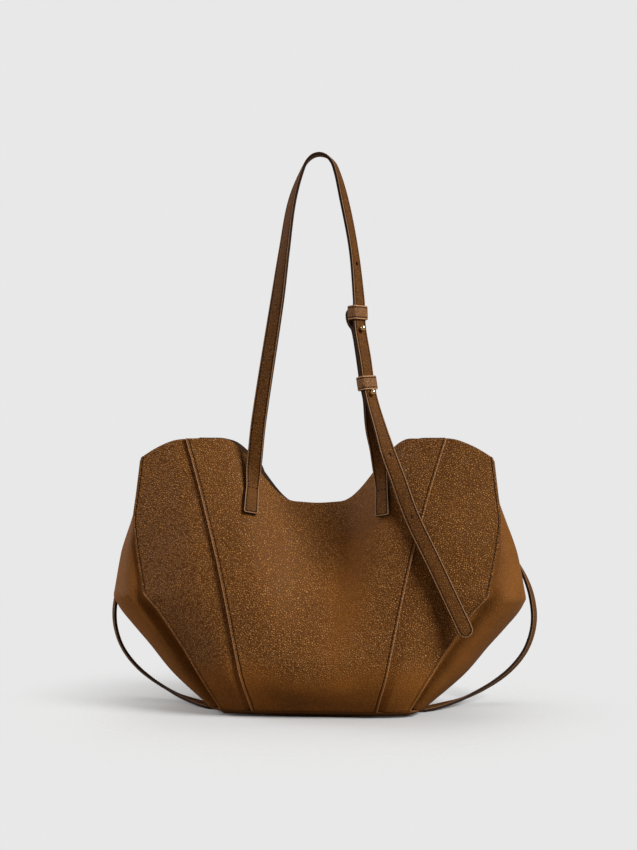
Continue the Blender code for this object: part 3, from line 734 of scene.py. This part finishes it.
# The standing strap: one long double strap, folded edges stitched along both sides,
# sewn flat to the front on the left, up and over in a hoop, and down through the
# keepers to a rounded tail on the right wing.
STRAP_WIDTH = 0.0150
STRAP_THICK = 0.0030
STRAP_SEAT = 0.0006
TIP_ROUND = 0.0075
TAB_ROUND = 0.0020
TAB_OUT = 0.0635
TAB_TOP = 0.222
TAB_LENGTH = 0.0265
HOOP_RISE = 0.2776
STRAP_STITCH_INSET = 0.0020
STRAP_BROWN = (0.138, 0.049, 0.0080)
HOOP_ROUTE = (
    # out, rise, forward, turn
    (1.235, -0.122, 0.775, 10),
    (1.120, -0.055, 0.735, 18),
    (0.990, 0.035, 0.668, 38),
    (0.836, 0.157, 0.600, 46),
    (0.756, 0.278, 0.565, 45),
    (0.677, 0.384, 0.535, 45),
    (0.662, 0.444, 0.525, 47),
    (0.660, 0.484, 0.515, 50),
    (0.580, 0.660, 0.480, 62),
    (0.433, 0.836, 0.455, 64),
    (0.290, 0.957, 0.440, 78),
    (0.180, 0.990, 0.440, 85),
    (0.050, 1.000, 0.440, 88),
    (-0.080, 0.990, 0.440, 86),
    (-0.190, 0.957, 0.445, 80),
    (-0.370, 0.836, 0.460, 60),
    (-0.490, 0.660, 0.480, 45),
    (-0.595, 0.484, 0.510, 28),
    (-0.870, 0.065, 0.570, 8),
    (-0.935, -0.075, 0.572, 2),
)
TAIL_REACH = 0.73
TAIL_ROUTE = (
    # out, height, lift
    (0.640, 0.415, 0.85),
    (0.548, 0.570, 0.45),
    (0.456, 0.724, 0.55),
)


def seat(out, height, lift):
    """A point over the front skin at a given place across and up, and its normal."""
    side = 1 if out > 0 else -1

    def place_at(level):
        low, high = 0.0, 2.0
        for _ in range(30):
            middle = (low + high) / 2
            if skin(middle, level).x < abs(out):
                low = middle
            else:
                high = middle
        return low

    low, high = 0.0, 1.0
    for _ in range(30):
        level = (low + high) / 2
        if skin(place_at(level), level).z < height:
            low = level
        else:
            high = level
    place = place_at(low) - 0.004
    normal = skin_normal(place, low)
    point = skin(place, low) + normal * lift
    flip = Vector((side, 1, 1))
    return point * flip, normal * flip


def free_points(points, facing):
    """Places with a turn, made places with a normal. The turn goes from facing
    towards the outer side of the loop that the points make in the XZ plane."""
    made = []
    for index, (point, turn) in enumerate(points):
        before = points[max(index - 1, 0)][0]
        after = points[min(index + 1, len(points) - 1)][0]
        run = after - before
        outward = Vector((-run.z, 0, run.x)).normalized()
        angle = radians(turn)
        made.append((point, facing * cos(angle) + outward * sin(angle)))
    return made


class Route:
    """A strap's centre line through chosen points, with the face's normal along it."""

    def __init__(self, knots, pieces=24):
        self.samples = []
        for index in range(len(knots) - 1):
            window = [knots[min(max(index + k, 0), len(knots) - 1)] for k in (-1, 0, 1, 2)]
            for piece in range(pieces):
                sample = [self.blend(values, piece / pieces, window) for values in zip(*window)]
                self.samples.append(tuple(sample))
        self.samples.append(knots[-1])
        self.distances = [0.0]
        for (before, _), (after, _) in zip(self.samples, self.samples[1:]):
            self.distances.append(self.distances[-1] + (after - before).length)
        self.length = self.distances[-1]

    @staticmethod
    def blend(values, t, window):
        """Cubic through the middle two of four values, with slopes by chord length."""
        spans = [max((b[0] - a[0]).length, 1e-6) for a, b in zip(window, window[1:])]
        start = end = (values[2] - values[1]) / spans[1]
        if spans[0] > 1e-5:
            start = (values[2] - values[0]) / (spans[0] + spans[1])
        if spans[2] > 1e-5:
            end = (values[3] - values[1]) / (spans[1] + spans[2])
        start, end = start * spans[1], end * spans[1]
        return (
            (2 * t**3 - 3 * t**2 + 1) * values[1]
            + (t**3 - 2 * t**2 + t) * start
            + (3 * t**2 - 2 * t**3) * values[2]
            + (t**3 - t**2) * end
        )

    def frame(self, distance):
        """Placing matrix: X across the strap, Y along its run, Z out of its face."""
        distance = min(max(distance, 0.0), self.length)
        here = bisect_right(self.distances, distance) - 1
        here = min(max(here, 0), len(self.samples) - 2)
        span = self.distances[here + 1] - self.distances[here]
        share = (distance - self.distances[here]) / span
        (low, low_normal), (high, high_normal) = self.samples[here], self.samples[here + 1]
        before = self.samples[max(here - 3, 0)][0]
        after = self.samples[min(here + 4, len(self.samples) - 1)][0]
        run = (after - before).normalized()
        normal = low_normal.lerp(high_normal, share)
        normal = (normal - run * normal.dot(run)).normalized()
        turned = Matrix((run.cross(normal), run, normal)).transposed().to_4x4()
        return Matrix.Translation(low.lerp(high, share)) @ turned


def tab_knots(low, high, out=TAB_OUT):
    """The sewn end of a strap on the front, from its lower end to its top."""
    lift = STRAP_SEAT + STRAP_THICK / 2
    return [seat(out, height, lift) for height in (low, (low + high) / 2, high)]


def mirrored(knots, flip=Vector((-1, 1, 1))):
    return [(point * flip, normal * flip) for point, normal in knots]


STRAP_GRAIN = 0.8
STRAP_GROOVE = 0.0003
STRAP_CROWN = 0.0001
EDGE_COLUMNS = (
    0, 0.00015, 0.0004, 0.0008, 0.0013, 0.0016, 0.0020, 0.0024, 0.0027, 0.0035, 0.005
)


def face_height(inset, thick):
    """Half thickness of a strap at a distance from its edge: rounded, grooved, crowned."""
    rounding = min(thick * 0.27, 0.0009)
    height = thick / 2
    if inset < rounding:
        height += (rounding**2 - (rounding - inset) ** 2) ** 0.5 - rounding
    off_seam = inset - STRAP_STITCH_INSET
    height -= STRAP_GROOVE * exp(-((off_seam / 0.0005) ** 2))
    return height + STRAP_CROWN * smooth((off_seam - 0.0006) / 0.003)


def strap_band(name, frames, reach, width, thick, finish, ends):
    """A strap swept through frames at the distances in reach, both faces rounded at the
    edges and grooved under the stitches. A closed loop has ends None."""
    half = width / 2
    closed = ends is None
    offsets = [-half + inset for inset in EDGE_COLUMNS if inset < half - 0.001]
    offsets = offsets + [0.0] + [-offset for offset in reversed(offsets)]
    spots, insets, faces = [], [], []
    for frame_at, distance in zip(frames, reach):
        wide = half
        corner = []
        from_ends = () if closed else zip((distance, reach[-1] - distance), ends)
        for from_end, rounding in from_ends:
            if from_end < rounding:
                corner.append((from_end, rounding))
                arc = (rounding**2 - (rounding - from_end) ** 2) ** 0.5
                wide = min(wide, half - rounding + arc)
        wide = max(wide, 0.0004)
        for side in (1, -1):
            for offset in offsets if side > 0 else reversed(offsets):
                u = offset * wide / half
                inset = wide - abs(u)
                if not closed:
                    inset = min(half - abs(u), distance, reach[-1] - distance)
                for from_end, rounding in corner:
                    if abs(u) > half - rounding:
                        off_centre = hypot(rounding - from_end, abs(u) - half + rounding)
                        inset = min(inset, rounding - off_centre)
                inset = max(inset, 0.0)
                spots.append(frame_at @ Vector((u, 0, side * face_height(inset, thick))))
                insets.append(inset)
    ring = len(offsets) * 2
    count = len(reach)
    for station in range(count if closed else count - 1):
        here, there = station * ring, (station + 1) % count * ring
        for index in range(ring):
            after = (index + 1) % ring
            faces.append((here + index, here + after, there + after, there + index))
    if not closed:
        faces.append(tuple(reversed(range(ring))))
        faces.append(tuple(range((count - 1) * ring, count * ring)))
    mesh = bpy.data.meshes.new(name)
    mesh.from_pydata(spots, [], faces)
    for label, values in (("inset", insets), ("pebbled", [STRAP_GRAIN] * len(spots))):
        mesh.attributes.new(label, "FLOAT", "POINT").data.foreach_set("value", values)
    mesh.materials.append(finish)
    mesh.shade_smooth()
    made = bpy.data.objects.new(name, mesh)
    bpy.context.scene.collection.objects.link(made)
    bpy.ops.object.select_all(action="DESELECT")
    made.select_set(True)
    bpy.context.view_layer.objects.active = made
    bpy.ops.object.mode_set(mode="EDIT")
    bpy.ops.mesh.select_all(action="SELECT")
    bpy.ops.mesh.normals_make_consistent(inside=False)
    bpy.ops.object.mode_set(mode="OBJECT")
    bpy.ops.object.shade_smooth_by_angle(angle=radians(60))
    return made


def stations(length, ends):
    """Distances along a strap, closer together at its ends."""
    steps = (0, 0.02, 0.07, 0.15, 0.27, 0.42, 0.6, 0.8)
    first = [ends[0] * share for share in steps]
    last = [length - ends[1] * share for share in reversed(steps)]
    inner = round((length - sum(ends)) / 0.0026)
    middle = [mix(ends[0], length - ends[1], index / inner) for index in range(inner + 1)]
    return first + middle + last


def long_strap(name, route, ends, finish):
    reach = stations(route.length, ends)
    frames = [route.frame(at) for at in reach]
    return strap_band(name, frames, reach, STRAP_WIDTH, STRAP_THICK, finish, ends)


OUTLINE_HEIGHT = -0.0003
CROSS_ROW_HEIGHT = 0.0001
BEND_STEPS = 12
CROSS_STEPS = 6


def strap_stitches(name, route, ends, cross_rows):
    """Stitches round a strap's outline on both faces, and rows across it."""
    half = STRAP_WIDTH / 2 - STRAP_STITCH_INSET
    outline = []
    for flip, rounding in ((1, ends[1]), (-1, ends[0])):
        bend = max(rounding - STRAP_STITCH_INSET, 0.0004)
        centre = STRAP_STITCH_INSET + bend
        if flip > 0:
            centre = route.length - STRAP_STITCH_INSET - bend
        for step in range(BEND_STEPS + 1):
            angle = step / BEND_STEPS * pi
            across = cos(angle) * bend + (half - bend) * (1 if angle < pi / 2 else -1)
            if step == BEND_STEPS / 2:
                across = 0.0
            outline.append((centre + flip * sin(angle) * bend, across * flip))
    closed = outline + outline[:1]
    path = []
    for (d0, u0), (d1, u1) in zip(closed, closed[1:]):
        pieces = max(int(hypot(d1 - d0, u1 - u0) / 0.003), 1)
        path += [(mix(d0, d1, k / pieces), mix(u0, u1, k / pieces)) for k in range(pieces)]
    path.append(path[0])
    paths = [(path, OUTLINE_HEIGHT)]
    for row in cross_rows:
        across = [(row, mix(-half, half, k / CROSS_STEPS)) for k in range(CROSS_STEPS + 1)]
        paths.append((across, CROSS_ROW_HEIGHT))
    lines = []
    for face in (1, -1):
        for line, proud in paths:
            height = face * (STRAP_THICK / 2 + proud)
            placed = []
            for distance, across in line:
                at = route.frame(distance)
                normal = at.to_3x3() @ Vector((0, 0, face))
                placed.append((at @ Vector((across, 0, height)), normal))
            lines.append(placed)
    return sew(name, lines)


hoop = []
for out, rise, forward, turn in HOOP_ROUTE:
    height = BAG_HEIGHT + rise * HOOP_RISE
    hoop.append((Vector((out * TAB_OUT, -forward * BELLY_DEPTH, height)), -turn))
tail = [
    seat(out * BAG_HALF_WIDTH, height * BAG_HEIGHT, STRAP_THICK * (0.5 + lift))
    for out, height, lift in TAIL_ROUTE
]
(lowest, facing), (before, _) = tail[:2]
tail.insert(0, (lowest + (lowest - before) * TAIL_REACH, facing))
left_tab = mirrored(tab_knots(TAB_TOP - TAB_LENGTH, TAB_TOP))
standing = Route(tail + free_points(hoop, Vector((0, -1, 0))) + left_tab[::-1])

HOLE_RADIUS = 0.0019
HOLE_PITCH = 0.0635
LAST_HOLE = 0.1250
HOLE_COUNT = 5
holes = [LAST_HOLE + HOLE_PITCH * index for index in range(HOLE_COUNT)]

STRAP_LEATHER = leather(
    "strap",
    STRAP_BROWN,
    pebble=0.0015,
    depth=0.0004,
    rough=0.6,
    wear_and_highlight=1.0,
    painted=1.0,
    shine=0.08,
    seam=STRAP_STITCH_INSET,
)
standing_ends = (TIP_ROUND, TAB_ROUND)
long = long_strap("standing_strap", standing, standing_ends, STRAP_LEATHER)
long.data.materials.append(EDGE_PAINT)
for distance in holes:
    bpy.ops.object.select_all(action="DESELECT")
    bpy.ops.mesh.primitive_cylinder_add(vertices=20, radius=HOLE_RADIUS, depth=STRAP_THICK * 3)
    punch = bpy.context.object
    punch.matrix_world = standing.frame(distance)
    punch.data.materials.append(EDGE_PAINT)
    cut = long.modifiers.new("hole", "BOOLEAN")
    cut.object = punch
    cut.operation = "DIFFERENCE"
    cut.material_mode = "TRANSFER"
    apply_modifiers(long)
    bpy.data.objects.remove(punch)
dress(long, "front_strap_leather", "front_strap")
cross_rows = (standing.length - TAB_LENGTH,)
rows = strap_stitches("standing_strap_stitches", standing, standing_ends, cross_rows)
dress(rows, "front_strap_leather")


# The stub: the strap's short end, sewn to the front on the right. It climbs behind the
# long strap, through the lower keeper, and ends rounded behind the upper keeper.
STUB_TAB_OUT = 0.0665
STUB_TAB_DROP = 0.002
LAYER_GAP = 0.0006
STUD_BALL = 0.0029
KEEPER_WIDTH = 0.0135
KEEPER_WALL = 0.0018
KEEPER_CLEAR = 0.0005
LOWER_STUD_CLEAR = 0.0005
UPPER_STUD_CLEAR = 0.0062
STUB_RISE = (
    # out, rise, forward, turn
    (0.950, -0.045, 0.590, 3),
    (0.880, 0.030, 0.565, 16),
)
lower_stud, upper_stud = holes[2], holes[3]
lower_keeper = lower_stud + STUD_BALL + KEEPER_WIDTH / 2 + LOWER_STUD_CLEAR
upper_keeper = upper_stud + STUD_BALL + KEEPER_WIDTH / 2 + UPPER_STUD_CLEAR

stub_top = TAB_TOP - STUB_TAB_DROP
stub_knots = tab_knots(TAB_TOP - TAB_LENGTH - STUB_TAB_DROP, stub_top, STUB_TAB_OUT)
for out, rise, forward, turn in STUB_RISE:
    place = Vector((out * TAB_OUT, -forward * BELLY_DEPTH, BAG_HEIGHT + rise * HOOP_RISE))
    stub_knots.append((place, Vector((sin(radians(turn)), -cos(radians(turn)), 0))))
layer = STRAP_THICK + LAYER_GAP
behind_keeper = layer * 2 + KEEPER_WALL + 2 * KEEPER_CLEAR
STUB_BACKS = (
    (lower_stud - KEEPER_WIDTH * 0.45, layer),
    (lower_stud + KEEPER_WIDTH * 0.70, layer),
    (mix(lower_stud, upper_keeper, 0.45), layer),
    (upper_keeper - KEEPER_WIDTH * 1.20, layer),
    (upper_keeper - KEEPER_WIDTH * 0.80, mix(layer, behind_keeper, 0.62)),
    (upper_keeper - KEEPER_WIDTH * 0.40, behind_keeper),
    (upper_keeper + KEEPER_WIDTH * 0.40, behind_keeper * 1.04),
)
for distance, depth in STUB_BACKS:
    at = standing.frame(distance)
    stub_knots.append((at @ Vector((0, 0, -depth)), at.to_3x3() @ Vector((0, 0, 1))))
stub_route = Route(stub_knots)
stub_ends = (TAB_ROUND, TIP_ROUND)
stub = long_strap("stub", stub_route, stub_ends, STRAP_LEATHER)
dress(stub, "stub_leather", "strap_stub")
rows = strap_stitches("stub_stitches", stub_route, stub_ends, (TAB_LENGTH,))
dress(rows, "stub_leather")


# The fallen strap: a plain strap sewn to the back. It droops past both ends of the bag,
# turns its edge down to the floor and runs under the base in its channel.
FLAT_HALF_LENGTH = 0.084
PASS_FORWARD = 0.0170
STRAP_REST = 0.0002
FALLEN_ROUTE = (
    # out, height, back, turn
    (0.345, 0.895, 0.650, 5),
    (0.420, 0.925, 0.810, 24),
    (0.540, 0.895, 0.940, 42),
    (0.700, 0.790, 1.000, 58),
    (0.850, 0.655, 0.970, 74),
    (0.965, 0.535, 0.865, 90),
    (1.030, 0.435, 0.770, 103),
    (1.057, 0.340, 0.745, 109),
    (1.050, 0.262, 0.700, 110),
    (1.010, 0.185, 0.640, 110),
    (0.935, 0.118, 0.560, 110),
    (0.838, 0.067, 0.450, 109),
    (0.724, 0.030, 0.260, 107),
    (0.640, 0.0170, 0.060, 98),
)
PASS_SHARES = (1.25, 1.10, 0.60, 0.0)

back_tab = mirrored(tab_knots(TAB_TOP - TAB_LENGTH, TAB_TOP), Vector((1, -1, 1)))
falling = []
for out, height, back, turn in FALLEN_ROUTE:
    place = (out * BAG_HALF_WIDTH, back * BELLY_DEPTH, height * BAG_HEIGHT)
    falling.append((Vector(place), turn))
under = []
for share in PASS_SHARES:
    place = (share * FLAT_HALF_LENGTH, -PASS_FORWARD, STRAP_THICK / 2 + STRAP_REST)
    under.append((Vector(place), Vector((0, 0, -1))))
falling.append((under[0][0], 90))
right_half = back_tab + free_points(falling, Vector((0, 1, 0)))[:-1] + under
fallen = Route(right_half + mirrored(right_half[:-1])[::-1])
tab_ends = (TAB_ROUND, TAB_ROUND)
strap = long_strap("fallen_strap", fallen, tab_ends, STRAP_LEATHER)
dress(strap, "back_strap_leather", "back_strap")
cross_rows = (TAB_LENGTH, fallen.length - TAB_LENGTH)
rows = strap_stitches("fallen_strap_stitches", fallen, tab_ends, cross_rows)
dress(rows, "back_strap_leather")


# Two keepers, leather bands closed round both layers of the strap.
KEEPER_ROUND = 0.0012
KEEPER_BROWN = (0.230, 0.098, 0.030)
KEEPER_STEPS = 8
KEEPER_LEATHER = leather(
    "keeper",
    KEEPER_BROWN,
    pebble=0.0015,
    depth=0.0003,
    wear_and_highlight=1.0,
    painted=0.5,
    seam=STRAP_STITCH_INSET,
)
for name, distance in (("keeper_lower", lower_keeper), ("keeper_upper", upper_keeper)):
    middle = standing.frame(distance) @ Matrix.Translation((0, 0, -layer / 2))
    a = STRAP_WIDTH / 2 + KEEPER_CLEAR + KEEPER_WALL / 2
    b = STRAP_THICK + LAYER_GAP / 2 + KEEPER_CLEAR + KEEPER_WALL / 2
    bend = KEEPER_ROUND + KEEPER_WALL / 2
    loop = []
    for quarter, (sx, sz) in enumerate(((1, 1), (-1, 1), (-1, -1), (1, -1))):
        centre = Vector((sx * (a - bend), 0, sz * (b - bend)))
        for step in range(KEEPER_STEPS + 1):
            angle = radians(quarter * 90 + step / KEEPER_STEPS * 90)
            outward = Vector((cos(angle), 0, sin(angle)))
            loop.append((centre + outward * bend, outward))
    filled = []
    for (p0, n0), (p1, n1) in zip(loop, loop[1:] + loop[:1]):
        pieces = max(int((p1 - p0).length / 0.0012), 1)
        for share in [k / pieces for k in range(pieces)]:
            filled.append((p0.lerp(p1, share), n0.lerp(n1, share).normalized()))
    frames = []
    across = Vector((0, 1, 0))
    for point, outward in filled:
        turned = Matrix((across, across.cross(outward), outward)).transposed().to_4x4()
        frames.append(middle @ Matrix.Translation(point) @ turned)
    reach = range(len(frames))
    finish = KEEPER_LEATHER
    band = strap_band(name + "_band", frames, reach, KEEPER_WIDTH, KEEPER_WALL, finish, None)
    dress(band, name + "_leather", name)
    rows = []
    for side in (-1, 1):
        row = []
        for at in frames + frames[:1]:
            offset = side * (KEEPER_WIDTH / 2 - STRAP_STITCH_INSET)
            point = at @ Vector((offset, 0, KEEPER_WALL / 2 + OUTLINE_HEIGHT))
            row.append((point, at.to_3x3() @ Vector((0, 0, 1))))
        rows.append(row)
    dress(sew(name + "_stitches", rows), name + "_leather")


# Two turned brass studs. A ball on a short neck, screwed through both layers.
STUD_NECK = 0.0013
STUD_NECK_LENGTH = 0.0055
STUD_NECK_SUNK = 0.0015
COLLAR_SHARE = 0.78
COLLAR_THICK = 0.0005
COLLAR_HEIGHT = 0.00045
BALL_SEAT = 0.82
STUD_ROUNDING = 0.00012
BRASS_GOLD = (0.78, 0.57, 0.27)
BRASS = plain_finish("polished_brass", BRASS_GOLD, 0.16, 400.0, 0.00002, 1.0)
for name, distance in (("stud_lower", lower_stud), ("stud_upper", upper_stud)):
    foot_height = STRAP_THICK / 2 - 0.0001
    bpy.ops.object.select_all(action="DESELECT")
    bpy.ops.mesh.primitive_cylinder_add(
        vertices=40,
        radius=STUD_BALL * COLLAR_SHARE,
        depth=COLLAR_THICK,
        location=(0, 0, foot_height + COLLAR_HEIGHT),
    )
    collar = bpy.context.object
    bpy.ops.mesh.primitive_cylinder_add(
        vertices=32,
        radius=STUD_NECK,
        depth=STUD_NECK_LENGTH,
        location=(0, 0, foot_height - STUD_NECK_SUNK),
    )
    neck = bpy.context.object
    bpy.ops.mesh.primitive_uv_sphere_add(
        segments=40,
        ring_count=24,
        radius=STUD_BALL,
        location=(0, 0, foot_height + SEAM_GAP + STUD_BALL * BALL_SEAT),
    )
    ball = bpy.context.object
    for part in (collar, neck, ball):
        part.select_set(True)
    bpy.ops.object.join()
    ball.name = ball.data.name = name + "_brass"
    bpy.ops.object.transform_apply()
    ball.data.transform(standing.frame(distance))
    softened = ball.modifiers.new("softened", "BEVEL")
    softened.width = STUD_ROUNDING
    softened.segments = 2
    softened.limit_method = "ANGLE"
    softened.angle_limit = radians(50)
    apply_modifiers(ball)
    bpy.ops.object.shade_smooth_by_angle(angle=radians(40))
    ball.data.materials.append(BRASS)
    dress(ball, name + "_brass", name)


# The studio: a pale floor that fades into an even pale backdrop, a soft key light on
# the right, weaker ones in front, on the left and behind, and the camera at about half
# the height of the standing strap.
BACKDROP = 0.807
WARM_AIR = (1.0, 0.84, 0.70)
FLOOR_GREY = 0.525
FLOOR_GLOW = (0.22, 0.19, 0.16)
FLOOR_FADE = (0.05, 0.35)
studio = bpy.data.worlds.new("studio")
bpy.context.scene.world = studio
studio.use_nodes = True
tree = studio.node_tree
ambient = tree.nodes["Background"]
ambient.inputs["Color"].default_value = (*WARM_AIR, 1)
ambient.inputs["Strength"].default_value = 0.06
backdrop = {"Color": (BACKDROP, BACKDROP, BACKDROP, 1), "Strength": 1.0}
seen = node(tree, "ShaderNodeBackground", backdrop).outputs[0]


def seen_by_camera(tree, others, camera):
    """One shader for the camera's rays and one for all others."""
    ray = node(tree, "ShaderNodeLightPath").outputs["Is Camera Ray"]
    return node(tree, "ShaderNodeMixShader", {0: ray, 1: others, 2: camera}).outputs[0]


choose = seen_by_camera(tree, ambient.outputs[0], seen)
tree.links.new(choose, tree.nodes["World Output"].inputs["Surface"])

bpy.ops.object.select_all(action="DESELECT")
bpy.ops.mesh.primitive_plane_add(size=6)
floor = bpy.context.object
floor.name = "floor"
paper = bpy.data.materials.new("pale_floor")
paper.use_nodes = True
tree = paper.node_tree
shader = tree.nodes["Principled BSDF"]
shader.inputs["Base Color"].default_value = (FLOOR_GREY, FLOOR_GREY, FLOOR_GREY, 1)
shader.inputs["Roughness"].default_value = 1.0
shader.inputs["Specular IOR Level"].default_value = 0.0
distance = node(tree, "ShaderNodeVectorMath", {0: object_place(tree)}, operation="LENGTH")
fade = remap(tree, distance.outputs["Value"], *FLOOR_FADE, soft=True)
clear = node(tree, "ShaderNodeBsdfTransparent").outputs[0]
blend = node(tree, "ShaderNodeMixShader", {0: fade, 1: shader.outputs[0], 2: clear}).outputs[0]
glow = node(tree, "ShaderNodeBsdfDiffuse", {"Color": (*FLOOR_GLOW, 1)}).outputs[0]
choose = seen_by_camera(tree, glow, blend)
tree.links.new(choose, tree.nodes["Material Output"].inputs["Surface"])
floor.data.materials.append(paper)


def far_light(name, azimuth, elevation, spread, strength, colour=(1.0, 1.0, 1.0)):
    """A light far away, azimuth counted from the front towards the right."""
    light = bpy.data.lights.new(name, "SUN")
    light.color = colour
    light.angle = radians(spread)
    light.energy = strength
    made = bpy.data.objects.new(name, light)
    made.rotation_euler = (radians(90 - elevation), 0, radians(azimuth))
    bpy.context.scene.collection.objects.link(made)


far_light("key", azimuth=64, elevation=37, spread=24, strength=4.5)
far_light("front", -50, 28, 60, 0.42, (1.0, 0.84, 0.68))
far_light("left", -96, 22, 40, 2.3)
far_light("back", 175, 60, 50, 1.2)

CAMERA_DISTANCE = 1.434
CAMERA_HEIGHT = 0.281
CAMERA_TURN = radians(4)
SENSOR = 36
VIEW_HEIGHT = 0.850
lens = bpy.data.cameras.new("camera")
lens.sensor_width = SENSOR
lens.lens = CAMERA_DISTANCE * SENSOR / VIEW_HEIGHT
camera = bpy.data.objects.new("camera", lens)
towards_camera = Vector((sin(CAMERA_TURN), -cos(CAMERA_TURN), 0))
camera.location = towards_camera * CAMERA_DISTANCE + Vector((0, 0, CAMERA_HEIGHT))
camera.rotation_euler = (radians(90), 0, CAMERA_TURN)
bpy.context.scene.collection.objects.link(camera)
bpy.context.scene.camera = camera
bpy.context.scene.view_settings.view_transform = "Standard"
